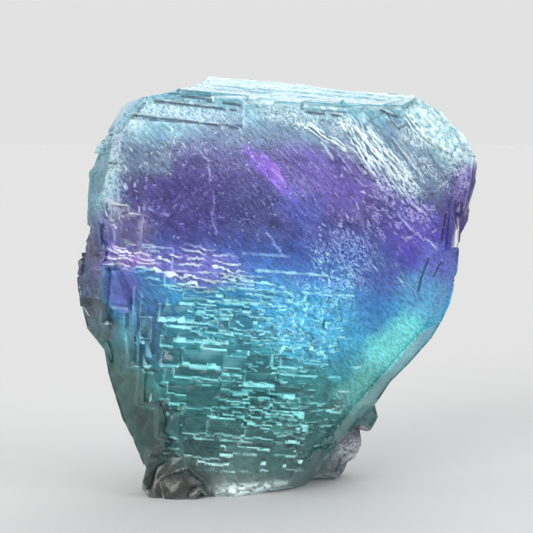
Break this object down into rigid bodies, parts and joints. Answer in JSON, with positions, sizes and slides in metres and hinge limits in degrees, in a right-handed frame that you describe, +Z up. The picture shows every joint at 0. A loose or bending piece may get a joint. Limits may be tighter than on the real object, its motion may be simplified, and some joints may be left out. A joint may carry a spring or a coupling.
{
  "type": "colour-zoned fluorite crystal",
  "caption": "Chunky upright crystal: a thick stepped tablet of see-through fluorite with bevelled rims, growth terraces and a flat base to stand on.",
  "frame": {"origin": "middle of the bounding box in X and Y, on the plane of the flat base", "axes": "+Z up through the crystal's height, -Y towards the viewer of its big stepped face, +X to that viewer's right"},
  "size_m": [0.06, 0.028, 0.0623],
  "materials": {
    "fluorite": "natural crystal, glossy cleavages with frosted, stepped and hackly areas, zoned from pale cyan over purple to blue and teal"
  },
  "bodies": {
    "root": {"fluorite_crystal": "fluorite"}
  },
  "joints": []
}
